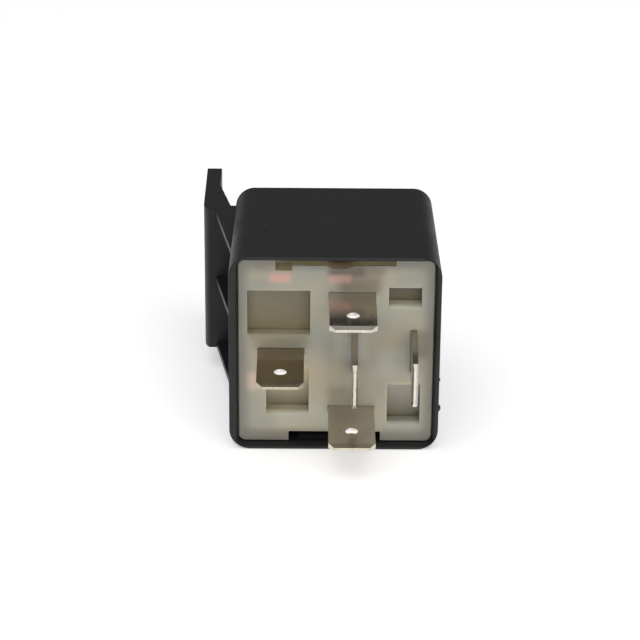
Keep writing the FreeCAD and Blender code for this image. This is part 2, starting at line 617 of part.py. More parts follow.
def leaf_rivet(z):
    outside = YOKE_LEFT - LEAF_THICK - 0.02
    shank = rod_x(RIVET_LEAF_Y, z, (outside - 0.1, YOKE_LEFT + YOKE_THICK), SHANK_RADIUS)
    head = rod_x(RIVET_LEAF_Y, z, (outside - 0.45, outside), 1.35)
    head = head.makeFillet(0.18, edges_where(head, lambda p: near(p.x, outside - 0.45)))
    return fused([shank, head])


def fixed_contact(sheet_face, facing):
    """A rivet in a fixed terminal: its domed head stands on sheet_face and looks along facing."""
    head = contact_head(CONTACT_RADIUS, CONTACT_HEAD, CONTACT_X, sheet_face, facing)
    back = sheet_face - facing * BLADE_THICK
    span = sorted((sheet_face + facing * 0.1, back - facing * 0.1))
    shank = rod_y(CONTACT_X, 0, span, SHANK_RADIUS)
    tail_gap = back - facing * HOLE_FIT
    tail = rod_y(CONTACT_X, 0, sorted((tail_gap, tail_gap - facing * TAIL_HEIGHT)), TAIL_RADIUS)
    return fused([head.translated(V(0, facing * HOLE_FIT, 0)), shank, tail])


def lifted(shape):
    """Turns a piece of the armature from its closed place to its place at rest."""
    shape.rotate(V(HINGE_X, HINGE_Y, 0), V(0, 0, 1), TRAVEL_DEG)
    return shape


def armature():
    plate = box((YOKE_LEFT, ARM_RIGHT), (ARM_LOW, ARM_HIGH), (-ARM_HALF_WIDTH, ARM_HALF_WIDTH))
    free_end = edges_where(plate, lambda p: near(p.x, ARM_RIGHT))
    corners = [edge for edge in free_end if near(edge.Length, ARM_HIGH - ARM_LOW)]
    plate = plate.makeFillet(1.2, corners)
    for z in RIVET_ARM_Z:
        plate = plate.cut(rod_y(RIVET_ARM_X, z, (ARM_LOW - 1, ARM_HIGH + 1), SHANK_RADIUS + HOLE_FIT))
    return lifted(plate)


def armature_rivet(z):
    shank = rod_y(RIVET_ARM_X, z, (ARM_LOW + FIT, LEAF_HIGH + 0.1), SHANK_RADIUS)
    low = LEAF_HIGH + HOLE_FIT
    head = rod_y(RIVET_ARM_X, z, (low, low + 0.45), 1.3)
    head = head.makeFillet(0.18, edges_where(head, lambda p: near(p.y, low + 0.45)))
    return lifted(fused([shank, head]))


def moving_contact():
    up = contact_head(MOVING_RADIUS, CONTACT_HEAD, CONTACT_X, LEAF_HIGH + 0.005, 1)
    down = contact_head(MOVING_RADIUS, CONTACT_HEAD, CONTACT_X, LEAF_LOW - 0.005, -1)
    shank = rod_y(CONTACT_X, 0, (LEAF_LOW - 0.1, LEAF_HIGH + 0.1), SHANK_RADIUS)
    return lifted(fused([up, down, shank]))


def contact_leaf_spring():
    """The leaf lies on the armature, loops over the hinge and runs down the outside of the yoke."""
    tilt = math.radians(TRAVEL_DEG)
    rise = (LEAF_LOW + LEAF_HIGH) / 2 - HINGE_Y
    start = V(HINGE_X - rise * math.sin(tilt), HINGE_Y + rise * math.cos(tilt), 0)
    loop_x = YOKE_LEFT - 1.05
    leg_x = YOKE_LEFT - 0.01 - LEAF_THICK / 2
    loop_y = start.y - (start.x - loop_x) * math.tan(tilt)
    reach = CONTACT_X + MOVING_RADIUS + 0.4 - HINGE_X
    end = start + V(math.cos(tilt), math.sin(tilt), 0) * reach
    path = [(end.x, end.y), (loop_x, loop_y), (loop_x, 18.3), (leg_x, 16.2), (leg_x, LEAF_FOOT)]
    strip = bent_sheet(path, LEAF_THICK, [LEAF_BEND] * 3, (-LEAF_HALF_WIDTH, LEAF_HALF_WIDTH))
    neck, tongue = 1.5, MOVING_RADIUS + 0.4
    outline = [(-14, LEAF_HALF_WIDTH), (neck, LEAF_HALF_WIDTH), (5.2, tongue), (CONTACT_X, tongue)]
    corners = [V(x, 0, z) for x, z in outline] + [V(x, 0, -z) for x, z in reversed(outline)]
    shadow = Part.Face(Part.makePolygon(corners + corners[:1])).extrude(V(0, 30, 0))
    tip = rod_y(CONTACT_X - 0.15, 0, (0, 30), tongue)
    strip = strip.common(fused([shadow, tip]))
    holes = [rod_y(RIVET_ARM_X, z, (ARM_LOW, LEAF_HIGH + 2), SHANK_RADIUS + HOLE_FIT) for z in RIVET_ARM_Z]
    holes.append(rod_y(CONTACT_X, 0, (LEAF_LOW - 2, LEAF_HIGH + 2), SHANK_RADIUS + HOLE_FIT))
    strip = strip.cut(Part.makeCompound([lifted(hole) for hole in holes]))
    for z in RIVET_LEAF_Z:
        strip = strip.cut(rod_x(RIVET_LEAF_Y, z, (-14, -10), SHANK_RADIUS + HOLE_FIT))
    return strip


# ---- places shared by several pieces -------------------------------------------------------------
RIVET_30_X = (-8.9, -6.2)
RIVET_30_Z = 3.3
RIVET_LEAF_Y = 10.6
RIVET_LEAF_Z = (-2.6, 2.6)
RIVET_ARM_X = -6.4
RIVET_ARM_Z = (-2.7, 2.7)
LEAF_HALF_WIDTH = 4.3
LEAF_FOOT = 8.2
LEAF_BEND = 0.85
THROUGH_BASE = (BASE_FACE - 1, BASE_INNER + 5)
MOVING_LOW = LEAF_LOW - 0.005 - CONTACT_HEAD
SHELF_TOP = MOVING_LOW - FIT - CONTACT_HEAD - HOLE_FIT
LIFT = (CONTACT_X - HINGE_X) * math.sin(math.radians(TRAVEL_DEG))
ARM_87A_LOW = LEAF_HIGH + CONTACT_HEAD + LIFT + 0.06 + CONTACT_HEAD

PARTS = {
    "cover": lambda: [cover()],
    "base": lambda: [base()],
    "terminal_30": lambda: [terminal_30()],
    "terminal_85": lambda: [coil_terminal(-1, TIP_85, DROOP_85)],
    "terminal_86": lambda: [coil_terminal(1, BLADE_TIP, 0.0)],
    "terminal_87": lambda: [terminal_87()],
    "terminal_87a": lambda: [terminal_87a()],
    "yoke": lambda: [yoke()],
    "core": lambda: [core()],
    "bobbin": lambda: [bobbin()],
    "coil_winding": lambda: [coil_winding()],
    "coil_leads": lambda: [coil_lead(-1), coil_lead(1)],
    "terminal_30_rivets": lambda: [terminal_rivet(x) for x in RIVET_30_X],
    "yoke_spring_rivets": lambda: [leaf_rivet(z) for z in RIVET_LEAF_Z],
    "contact_normally_open": lambda: [fixed_contact(SHELF_TOP, 1)],
    "contact_normally_closed": lambda: [fixed_contact(ARM_87A_LOW, -1)],
    "armature": lambda: [armature()],
    "armature_rivets": lambda: [armature_rivet(z) for z in RIVET_ARM_Z],
    "moving_contact": lambda: [moving_contact()],
    "contact_leaf_spring": lambda: [contact_leaf_spring()],
}

os.makedirs("parts", exist_ok=True)
for name, build in PARTS.items():
    solids = build()
    for solid in solids:
        print(name, "solids", len(solid.Solids), "valid", solid.isValid(), "volume", round(solid.Volume, 2))
    shape = solids[0] if len(solids) == 1 else Part.makeCompound(solids)
    shape.exportStep(os.path.join("parts", name + ".step"))
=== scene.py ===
"""Looks, light and camera for the plug-in relay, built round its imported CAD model."""
import json
import math
import random

import bmesh
import bpy
from mathutils import Matrix, Vector, noise


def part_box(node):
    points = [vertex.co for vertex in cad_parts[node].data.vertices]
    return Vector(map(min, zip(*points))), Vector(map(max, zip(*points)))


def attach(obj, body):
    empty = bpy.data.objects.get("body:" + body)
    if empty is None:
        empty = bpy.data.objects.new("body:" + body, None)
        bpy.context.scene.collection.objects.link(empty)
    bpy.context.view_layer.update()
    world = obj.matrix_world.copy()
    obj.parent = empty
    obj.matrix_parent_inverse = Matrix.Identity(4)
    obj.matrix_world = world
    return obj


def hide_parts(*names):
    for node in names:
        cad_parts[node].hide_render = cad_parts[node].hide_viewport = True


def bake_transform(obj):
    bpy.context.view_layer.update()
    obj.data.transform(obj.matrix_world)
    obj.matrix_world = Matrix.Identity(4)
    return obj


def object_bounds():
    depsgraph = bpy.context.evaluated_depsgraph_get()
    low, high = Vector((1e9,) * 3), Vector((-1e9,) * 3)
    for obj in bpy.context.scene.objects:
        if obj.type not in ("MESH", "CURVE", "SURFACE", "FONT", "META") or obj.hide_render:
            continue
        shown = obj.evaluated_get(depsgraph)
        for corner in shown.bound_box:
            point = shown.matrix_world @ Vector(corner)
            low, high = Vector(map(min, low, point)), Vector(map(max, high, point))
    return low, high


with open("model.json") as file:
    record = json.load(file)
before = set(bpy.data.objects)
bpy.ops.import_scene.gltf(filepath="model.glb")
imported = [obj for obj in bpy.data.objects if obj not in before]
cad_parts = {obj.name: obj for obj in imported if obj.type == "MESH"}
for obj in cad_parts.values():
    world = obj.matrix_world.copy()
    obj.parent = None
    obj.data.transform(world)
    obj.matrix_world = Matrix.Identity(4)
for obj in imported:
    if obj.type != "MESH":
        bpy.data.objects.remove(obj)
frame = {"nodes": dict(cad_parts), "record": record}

CAD_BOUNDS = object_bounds()
MM = 0.001
SEED = 11

# ---- camera: seen from the blade side, a little from above ------------------------------------
CAMERA_LENS = 142.2
SENSOR_WIDTH = 36.0
CAMERA_ELEVATION = 24.53     # degrees above the horizon
CAMERA_YAW = 0.29
CAMERA_ROLL = -0.48
CAMERA_DISTANCE = 341.5 * MM
RIM_RIGHT_OF_AXIS = 2.1 * MM  # where the centre of the rim lies, seen from the camera
RIM_ABOVE_AXIS = -4.7 * MM
CAMERA_CLIP = 10 * MM

# ---- lights --------------------------------------------------------------------------------------
LIGHTS = (                   # name, place, size and energy; each one looks at the origin
    ("key", (-0.05, -0.36, 0.84), (1.2, 0.8), 6.4),
    ("back", (0.05, 0.62, 0.80), (0.9, 0.5), 0.4),
    ("fill", (0.25, -0.62, 0.16), (0.9, 0.25), 1.5),
)
WORLD_TINT = (1.0, 0.99, 0.98, 1)
WORLD_FRONT = 0.20           # strength of the surroundings towards -Y
WORLD_BACK = 0.17            # and towards +Y
WORLD_TURN = (-0.7, 0.5)     # they change over between these values of the direction's y
BACKDROP = 0.95              # how bright the surroundings look to the camera
FLOOR_HALF = 3.0
FLOOR_STEPS = 24
FLOOR_GLOW = 0.42
FLOOR_GLOW_FAR = 0.80        # the floor glows more where the lights don't reach
FLOOR_FADE = (0.35, 1.1)     # the glow rises between these distances from the origin

# ---- edges and pieces ------------------------------------------------------------------------------
WELD = 0.002 * MM            # vertices closer than this are one
BASE_BEVEL = 0.10 * MM
BOBBIN_BEVEL = 0.10 * MM
STEEL_BEVEL = 0.08 * MM
BLADE_BEVEL = 0.05 * MM
BEVEL_FROM = 40              # degrees: sharper edges than this are rounded
FLAT_WITHIN = 0.15           # degrees: faces closer than this in direction are one flat face
WIRE = 0.17 * MM             # outer diameter of the enamelled wire
WIRE_AROUND = 96             # points round one turn
WIRE_ROWS = 7                # rows across one turn
WIRE_SINK = 0.05 * MM        # how deep a turn may lie below the outside of the winding
WIRE_WOBBLE = 0.02 * MM      # how much the wire wanders in and out along a turn
WIRE_SLANT = 0.15            # how far a turn leans along the coil, as a share of the pitch
COIL_HUB = 4.05 * MM         # inner radius of the winding
LEAF_BEND_LOW = 15.6 * MM    # the leaf spring bends between these heights along Y
LEAF_BEND_HIGH = 21.6 * MM
LEAF_CUTS = 24
BLADE_THICK = 0.8 * MM
LEAD_REACH = 1.05 * MM       # from the middle of a coil post to the outside of the wire wound on it
SOLDER_HALF = (0.92, 0.75, 0.72)  # half sizes of a solder joint in mm
SOLDER_LUMP = (0.10, 0.12, 0.10)  # how much its lumps change each of them
SOLDER_LUMP_SCALE = 1.3
SOLDER_FULLNESS = 0.55       # below 1 the joint keeps its width closer to its ends
SOLDER_BELOW_TIP = 0.65 * MM
SOLDER_AROUND = 40
SOLDER_ROWS = 22


# ---- node helpers --------------------------------------------------------------------------------
class Graph:
    """One material's node tree, with short ways to add and join nodes."""

    def __init__(self, name):
        self.material = bpy.data.materials.new(name)
        self.material.use_nodes = True
        self.tree = self.material.node_tree
        self.shader = self.tree.nodes["Principled BSDF"]
        self.place = self.add("ShaderNodeTexCoord").outputs["Object"]

    def add(self, kind, settings=None, **inputs):
        """A new node. Keyword names are input names with _ for a space; numbers are set and
        sockets are joined."""
        node = self.tree.nodes.new(kind)
        for key, value in (settings or {}).items():
            setattr(node, key, value)
        for key, value in inputs.items():
            self.feed(node.inputs[key.replace("_", " ")], value)
        return node

    def feed(self, socket, value):
        if isinstance(value, bpy.types.NodeSocket):
            self.tree.links.new(value, socket)
        else:
            socket.default_value = value

    def set(self, **inputs):
        for key, value in inputs.items():
            self.feed(self.shader.inputs[key.replace("_", " ")], value)

    def math(self, operation, a, b=0.0, clamp=False):
        node = self.add("ShaderNodeMath", {"operation": operation, "use_clamp": clamp})
        self.feed(node.inputs[0], a)
        self.feed(node.inputs[1], b)
        return node.outputs[0]

    def stretched(self, scale):
        return self.add("ShaderNodeMapping", Vector=self.place, Scale=scale).outputs[0]

    def noise(self, size, detail=3.0, rough=0.5, at=None):
        """Noise from 0 to 1 whose blotches are about size across."""
        at = self.place if at is None else at
        node = self.add("ShaderNodeTexNoise", Vector=at, Scale=1.0 / size, Detail=detail, Roughness=rough)
        return node.outputs["Fac"]

    def ramp(self, value, low, high, to_low=0.0, to_high=1.0):
        """value mapped from low..high to to_low..to_high, held at the ends, with a smooth curve."""
        node = self.add("ShaderNodeMapRange", {"interpolation_type": "SMOOTHSTEP"}, Value=value)
        self.feed(node.inputs["From Min"], low)
        self.feed(node.inputs["From Max"], high)
        self.feed(node.inputs["To Min"], to_low)
        self.feed(node.inputs["To Max"], to_high)
        return node.outputs[0]

    def mix(self, factor, a, b):
        node = self.add("ShaderNodeMix", {"data_type": "RGBA"})
        self.feed(node.inputs[0], factor)
        self.feed(node.inputs[6], a)
        self.feed(node.inputs[7], b)
        return node.outputs[2]

    def bump(self, height, distance, strength=1.0, normal=None):
        node = self.add("ShaderNodeBump", Height=height, Distance=distance, Strength=strength)
        if normal is not None:
            self.feed(node.inputs["Normal"], normal)
        return node.outputs[0]

    def axes(self, at=None):
        return self.add("ShaderNodeSeparateXYZ", Vector=self.place if at is None else at).outputs

    def soft_box(self, centre, half, soft):
        """1 inside a box, fading to 0 over soft on both sides of its faces. A None in half leaves
        that axis free."""
        moved = self.add("ShaderNodeVectorMath", {"operation": "SUBTRACT"})
        self.feed(moved.inputs[0], self.place)
        self.feed(moved.inputs[1], centre)
        parts = self.axes(moved.outputs[0])
        mask = None
        for axis in range(3):
            if half[axis] is None:
                continue
            away = self.math("ABSOLUTE", parts[axis])
            inside = self.ramp(away, half[axis] - soft, half[axis] + soft, 1.0, 0.0)
            mask = inside if mask is None else self.math("MULTIPLY", mask, inside)
        return mask


def colour(red, green, blue):
    """Linear colour from 0-255 screen values."""
    def linear(value):
        share = value / 255
        return share / 12.92 if share <= 0.04045 else ((share + 0.055) / 1.055) ** 2.4
    return (linear(red), linear(green), linear(blue), 1.0)


# ---- materials -------------------------------------------------------------------------------------
def cover_plastic():
    g = Graph("cover_plastic")
    cloud = g.noise(9 * MM, 4)
    grain = g.noise(0.16 * MM, 2, 0.6)
    body = g.mix(cloud, colour(26, 26, 27), colour(33, 33, 33))
    speck = g.ramp(g.noise(0.42 * MM, 1, 0.4), 0.80, 0.84)
    body = g.mix(g.math("MULTIPLY", speck, 0.5), body, colour(150, 146, 138))
    rough = g.ramp(g.noise(4 * MM, 5, 0.6), 0.25, 0.75, 0.44, 0.54)
    scuff = g.ramp(g.noise(0.5 * MM, 3, 0.6, g.stretched((0.15, 1.0, 0.4))), 0.66, 0.74)
    rough = g.math("SUBTRACT", rough, g.math("MULTIPLY", scuff, 0.06))
    normal = g.bump(grain, 0.020 * MM, 0.45)
    g.set(Base_Color=body, Roughness=rough, Normal=normal, IOR=1.40)
    return g.material


BASE_COOL = colour(160, 161, 150)
BASE_WARM = colour(180, 172, 150)
# colour of the painted shade along the base's outline
BASE_OUTLINE_SHADE = colour(128, 125, 116)
# colour of the painted shade in the notch
NOTCH_SHADE = colour(140, 130, 100)
NOTCH_GLOW = colour(90, 82, 60)      # painted glow: emission standing in for light carried through the nylon into the notch
NOTCH_GLOW_WARM = colour(78, 62, 46)  # and the warmer glow near its middle
NOTCH_PLACE = (-0.05 * MM, 0, 12.35 * MM)
NOTCH_HALF = (8.0 * MM, None, 0.75 * MM)
OUTLINE_SHADE_WIDTH = 1.3 * MM                 # width of the band of painted shade along the outline
TINT_FADE = (0.8 * MM, 2.8 * MM)     # depths between which the painted shade, painted light and tints fade out
COPPER = colour(226, 166, 156)
PINK_GLOW = colour(226, 200, 188)
SHADE = colour(118, 106, 88)
COOL_SHADE = colour(134, 136, 126)
OLIVE_SHADE = colour(126, 118, 92)
WARM_GLOW = colour(186, 176, 150)
MILK_GLOW = colour(186, 186, 172)
DEEP_SHADE = colour(96, 84, 70)
POCKET_MARGIN = 0.1                  # mm by which a pocket's tone passes its walls
# Pockets in the outer face, painted with shade and light: centre x, top z, width and height in mm, then
# the painted tones of the floor at its top and bottom and of the ledge below it.
SHADED_POCKETS = (
    (-7.7, 8.95, 8.5, 6.6, colour(138, 130, 110), colour(134, 123, 90), colour(150, 140, 106)),
    (9.3, 9.45, 4.5, 2.65, colour(96, 89, 72), colour(120, 112, 88), colour(246, 238, 194)),
    (-6.5, -2.2, 5.8, 6.85, colour(228, 216, 188), colour(142, 134, 106), colour(214, 208, 182)),
    (9.35, -4.9, 4.5, 5.8, colour(182, 176, 162), colour(118, 114, 90), colour(168, 164, 144)),
)
# Soft patches of painted shade (the SHADE colours) and painted light (WARM_GLOW, MILK_GLOW), and tints of
# copper parts behind the nylon (COPPER, PINK_GLOW): centre x and z, width, height and softness in mm,
# then strength and colour.
BASE_SHADE_LIGHT_AND_TINTS = (
    (6.4, 1.2, 5.6, 4.6, 1.6, 0.50, WARM_GLOW),
    (8.0, -1.5, 4.4, 4.4, 1.2, 0.70, MILK_GLOW),
    (-3.6, -9.6, 9.0, 4.0, 1.2, 0.62, MILK_GLOW),
    (2.2, 0.8, 4.4, 3.8, 0.9, 0.90, MILK_GLOW),
    (0.5, -2.6, 3.6, 7.8, 0.7, 0.15, COOL_SHADE),
    (-7.6, 1.3, 7.6, 2.0, 1.0, 0.44, OLIVE_SHADE),
    (-7.7, 2.1, 7.8, 0.6, 0.25, 0.60, OLIVE_SHADE),
    (-10.2, 9.8, 2.6, 2.4, 0.9, 0.26, COOL_SHADE),
    (9.9, 10.7, 3.4, 1.4, 0.7, 0.26, COOL_SHADE),
    (3.2, 9.8, 5.6, 2.4, 0.9, 0.62, SHADE),
    (1.4, 12.0, 4.8, 1.8, 0.6, 0.75, DEEP_SHADE),
    (4.4, 12.0, 4.4, 1.8, 0.8, 0.55, SHADE),
    (-9.6, 12.3, 2.4, 1.4, 0.6, 0.30, SHADE),
    (-7.0, -12.7, 12.0, 1.7, 0.7, 0.50, SHADE),
    (9.6, -12.9, 7.0, 1.5, 0.7, 0.35, SHADE),
    (1.2, -6.8, 4.4, 3.2, 1.0, 0.36, SHADE),
    (12.0, 1.1, 2.0, 4.0, 0.8, 0.60, SHADE),
    (-7.5, 10.8, 2.8, 1.2, 0.45, 0.62, COPPER),
    (0.45, 10.7, 3.0, 1.2, 0.45, 0.42, COPPER),
    (-11.4, -4.6, 1.5, 2.6, 0.7, 0.62, PINK_GLOW),
)


def base_plastic():
    """Milky nylon with painted shade along its outline, painted shade and painted light in its pockets
    and notch, soft patches of painted shade and painted light, and tints where copper parts lie behind
    it.
    """
    g = Graph("base_plastic")
    low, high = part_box("base")
    middle, half = (low + high) / 2, (high - low) / 2
    body = g.mix(g.ramp(g.noise(9 * MM, 3), 0.3, 0.7), BASE_COOL, BASE_WARM)
    _, along, height = g.axes()
    depth = g.math("SUBTRACT", along, low.y)
    outside = g.ramp(depth, TINT_FADE[0], TINT_FADE[1], 1.0, 0.0)
    # Patches of painted shade and painted light, and copper tints, fading out with depth.
    for x, z, wide, tall, soft, strength, tint in BASE_SHADE_LIGHT_AND_TINTS:
        half_size = (wide / 2 * MM, None, tall / 2 * MM)
        patch = g.soft_box((x * MM, 0, z * MM), half_size, soft * MM)
        body = g.mix(g.math("MULTIPLY", g.math("MULTIPLY", patch, outside), strength), body, tint)
    # Painted shade: the nylon is darkened in a band along its outline.
    inner = (half.x - OUTLINE_SHADE_WIDTH, None, half.z - OUTLINE_SHADE_WIDTH)
    edge = g.soft_box(middle, inner, OUTLINE_SHADE_WIDTH)
    body = g.mix(g.ramp(edge, 0.0, 1.0, 0.72, 0.0), body, BASE_OUTLINE_SHADE)
    # The pockets' floors lie 2 mm deep; ledges are the faces in them that look up. Painted shade and
    # painted light set their tones, changing from top to bottom.
    true_normal = g.add("ShaderNodeNewGeometry").outputs["True Normal"]
    facing_up = g.ramp(g.axes(true_normal)[2], 0.4, 0.8)
    above_floor = g.ramp(depth, 2.2 * MM, 2.5 * MM, 1.0, 0.0)
    sunk = g.math("MULTIPLY", g.ramp(depth, 0.05 * MM, 1.2 * MM), above_floor)
    ledge = g.math("MULTIPLY", facing_up, g.ramp(depth, 0.1 * MM, 2.4 * MM))
    inside = g.math("MAXIMUM", ledge, g.math("MULTIPLY", sunk, g.math("SUBTRACT", 1.0, facing_up)))
    # Painted shade and painted light in each pocket and on its ledge.
    for x, z_top, wide, tall, high_painted_tone, low_painted_tone, ledge_painted_tone in SHADED_POCKETS:
        place = (x * MM, 0, (z_top - tall / 2) * MM)
        half_size = ((wide / 2 + POCKET_MARGIN) * MM, None, (tall / 2 + POCKET_MARGIN) * MM)
        pocket = g.soft_box(place, half_size, 0.05 * MM)
        tone = g.mix(g.ramp(height, (z_top - tall) * MM, z_top * MM), low_painted_tone, high_painted_tone)
        tone = g.mix(facing_up, tone, ledge_painted_tone)
        body = g.mix(g.math("MULTIPLY", g.math("MULTIPLY", pocket, inside), 0.9), body, tone)
    # Painted shade darkens the notch in the top edge, and a painted glow, an emission, lights it faintly,
    # less towards the back.
    notch = g.soft_box(NOTCH_PLACE, NOTCH_HALF, 0.15 * MM)
    notch = g.math("MULTIPLY", notch, g.ramp(depth, 0.05 * MM, 0.4 * MM))
    notch = g.math("MULTIPLY", notch, g.ramp(depth, 2.80 * MM, 2.95 * MM, 1.0, 0.0))
    body = g.mix(g.math("MULTIPLY", notch, 0.5), body, NOTCH_SHADE)
    warm = g.soft_box((0.6 * MM, 0, 0), (2.0 * MM, None, None), 1.2 * MM)
    glow = g.mix(warm, NOTCH_GLOW, NOTCH_GLOW_WARM)
    glow = g.mix(g.ramp(g.noise(1.4 * MM, 3), 0.35, 0.65, 0.0, 0.5), glow, NOTCH_GLOW_WARM)
    strength = g.math("MULTIPLY", notch, g.ramp(depth, 0.8 * MM, 3.0 * MM, 1.0, 0.38))
    rough = g.ramp(g.noise(2.2 * MM, 4), 0.3, 0.7, 0.34, 0.50)
    normal = g.bump(g.noise(2.6 * MM, 2), 0.05 * MM, 0.25)
    normal = g.bump(g.noise(0.22 * MM, 2), 0.012 * MM, 0.35, normal)
    nick = g.ramp(g.noise(0.7 * MM, 2, 0.5, g.stretched((1.0, 1.0, 2.5))), 0.74, 0.80)
    normal = g.bump(nick, -0.02 * MM, 0.5, normal)
    g.set(Base_Color=body, Roughness=rough, Normal=normal, IOR=1.53)
    g.set(Emission_Color=glow, Emission_Strength=strength)
    g.set(Subsurface_Weight=1.0, Subsurface_Scale=1.6 * MM, Subsurface_Radius=(1.0, 0.85, 0.5))
    return g.material


TIN_LIGHT = (0.74, 0.70, 0.61)
TIN_DARK = (0.66, 0.62, 0.53)
# colour of real stains and scars, and of the painted shade on the tip's corner facets that face up
TIN_STAIN_AND_SHADE = (0.36, 0.32, 0.25, 1)
# colour of the painted light on the detent hole's wall
HOLE_WALL_LIGHT = (0.96, 0.94, 0.90, 1)
# Darkening of each blade's rolled faces and of its tip, as shares of the bright plating: partly tarnish
# and partly painted shade that dims the blade's reflections.
BLADE_TARNISH_AND_SHADE = {
    "30": ((0.54, 0.48, 0.39), (0.76, 0.70, 0.64)),
    "85": ((0.90, 0.89, 0.89), (0.94, 0.89, 0.86)),
    "86": ((0.83, 0.82, 0.83), (0.95, 0.94, 0.94)),
    "87": ((0.52, 0.50, 0.50), (1.00, 1.00, 1.00)),
    "87a": ((0.81, 0.79, 0.82), (0.93, 0.93, 0.92)),
}


def toned(metal, share):
    return tuple(a * b for a, b in zip(metal, share)) + (1,)


def tinned_metal(name, tarnish_and_shade, tip_tone, hole):
    """Tin plate on brass: rolling streaks, dull stains and pits, a darkening of the rolled faces that is
    partly tarnish and partly painted shade, bright, rough sheared faces at the tip dimmed per blade by
    painted shade, painted shade on the tip's corner facets that face up, and the punched wall of the
    detent hole painted near white as painted light.
    The shares for the rolled faces and the tip are of the bright plating; hole is the record's mount for
    that hole."""
    g = Graph(name)
    streak = g.noise(0.25 * MM, 4, 0.6, g.stretched((1.0, 0.10, 1.0)))
    stain = g.ramp(g.noise(2.4 * MM, 4, 0.6), 0.45, 0.80)
    # Painted shade, partly tarnish: the rolled faces are darkened by each blade's own share.
    light = toned(TIN_LIGHT, tarnish_and_shade)
    dark = toned(TIN_DARK, tarnish_and_shade)
    body = g.mix(streak, dark, light)
    body = g.mix(g.math("MULTIPLY", stain, 0.35), body, TIN_STAIN_AND_SHADE)
    true_normal = g.add("ShaderNodeNewGeometry").outputs["True Normal"]
    _, forward, upward = g.axes(true_normal)
    sheared = g.ramp(forward, -0.75, -0.45, 1.0, 0.0)
    tear = g.noise(0.30 * MM, 4, 0.7, g.stretched((1.0, 1.0, 0.35)))
    # Painted shade: the sheared tip faces take each blade's own share of the plating.
    body = g.mix(sheared, body, toned(TIN_LIGHT, tip_tone))
    scar = g.math("MULTIPLY", sheared, g.ramp(tear, 0.48, 0.66))
    # Painted shade: the tip's corner facets that face up are darkened towards the stain colour, along
    # with the tear scars.
    corner = g.math("MULTIPLY", sheared, g.ramp(upward, 0.35, 0.55))
    body = g.mix(g.math("MULTIPLY", g.math("MAXIMUM", scar, corner), 0.7), body, TIN_STAIN_AND_SHADE)
    # Painted light: the punched wall of the detent hole is painted near white.
    flatness = g.add("ShaderNodeVectorMath", {"operation": "DOT_PRODUCT"})
    g.feed(flatness.inputs[0], true_normal)
    g.feed(flatness.inputs[1], hole["axis"])
    hole_light = g.ramp(g.math("ABSOLUTE", flatness.outputs["Value"]), 0.5, 0.8, 1.0, 0.0)
    near_hole = g.soft_box(hole["pos_m"], (1.2 * MM, 1.2 * MM, 1.2 * MM), 0.05 * MM)
    hole_light = g.math("MULTIPLY", hole_light, near_hole)
    body = g.mix(hole_light, body, HOLE_WALL_LIGHT)
    rough = g.ramp(streak, 0.3, 0.7, 0.13, 0.22)
    rough = g.math("ADD", rough, g.math("MULTIPLY", stain, 0.10))
    rough = g.math("ADD", rough, g.math("MULTIPLY", sheared, 0.16))
    pit = g.ramp(g.noise(0.35 * MM, 1, 0.4), 0.74, 0.82)
    normal = g.bump(streak, 0.004 * MM, 0.30)
    normal = g.bump(pit, -0.02 * MM, 0.5, normal)
    normal = g.bump(g.math("MULTIPLY", tear, sheared), 0.05 * MM, 0.6, normal)
    g.set(Base_Color=body, Metallic=0.97, Roughness=rough, Normal=normal)
    return g.material


ROLLED = (1.0, 0.12, 1.0)    # stretch of a grain that runs along Y
EVEN = (1.0, 1.0, 1.0)
# Metals: light and dark colour, lowest and highest roughness, stretch of the grain and strength of
# the relief.
METALS = {
    "zinc_steel": ((0.62, 0.62, 0.60, 1), (0.50, 0.50, 0.47, 1), 0.24, 0.40, ROLLED, 1.0),
    "rivet_metal": ((0.66, 0.63, 0.57, 1), (0.50, 0.47, 0.41, 1), 0.26, 0.42, EVEN, 1.0),
    "contact_silver": ((0.86, 0.85, 0.81, 1), (0.66, 0.64, 0.60, 1), 0.22, 0.38, EVEN, 1.0),
    "spring_bronze": ((0.78, 0.50, 0.30, 1), (0.66, 0.41, 0.23, 1), 0.26, 0.36, ROLLED, 0.25),
    "solder": ((0.70, 0.70, 0.69, 1), (0.52, 0.52, 0.51, 1), 0.14, 0.30, EVEN, 1.0),
}


def rolled_metal(name, light, dark, rough_low, rough_high, scale, relief):
    """Plated or rolled metal with a grain, stains and fine pits."""
    g = Graph(name)
    grain = g.noise(0.3 * MM, 4, 0.6, g.stretched(scale))
    cloud = g.noise(2.8 * MM, 4, 0.6)
    body = g.mix(g.ramp(cloud, 0.35, 0.7), light, dark)
    rough = g.ramp(grain, 0.3, 0.7, rough_low, rough_high)
    normal = g.bump(grain, 0.010 * MM, 0.4 * relief)
    normal = g.bump(g.noise(0.12 * MM, 2), 0.006 * MM, 0.3 * relief, normal)
    g.set(Base_Color=body, Metallic=1.0, Roughness=rough, Normal=normal)
    return g.material


def bobbin_plastic():
    g = Graph("bobbin_plastic")
    cloud = g.noise(5 * MM, 3)
    body = g.mix(cloud, colour(222, 216, 196), colour(206, 197, 170))
    rough = g.ramp(g.noise(1.5 * MM, 4), 0.3, 0.7, 0.36, 0.52)
    normal = g.bump(g.noise(0.25 * MM, 2), 0.015 * MM, 0.4)
    g.set(Base_Color=body, Roughness=rough, Normal=normal)
    g.set(Subsurface_Weight=0.35, Subsurface_Scale=1.0 * MM)
    return g.material


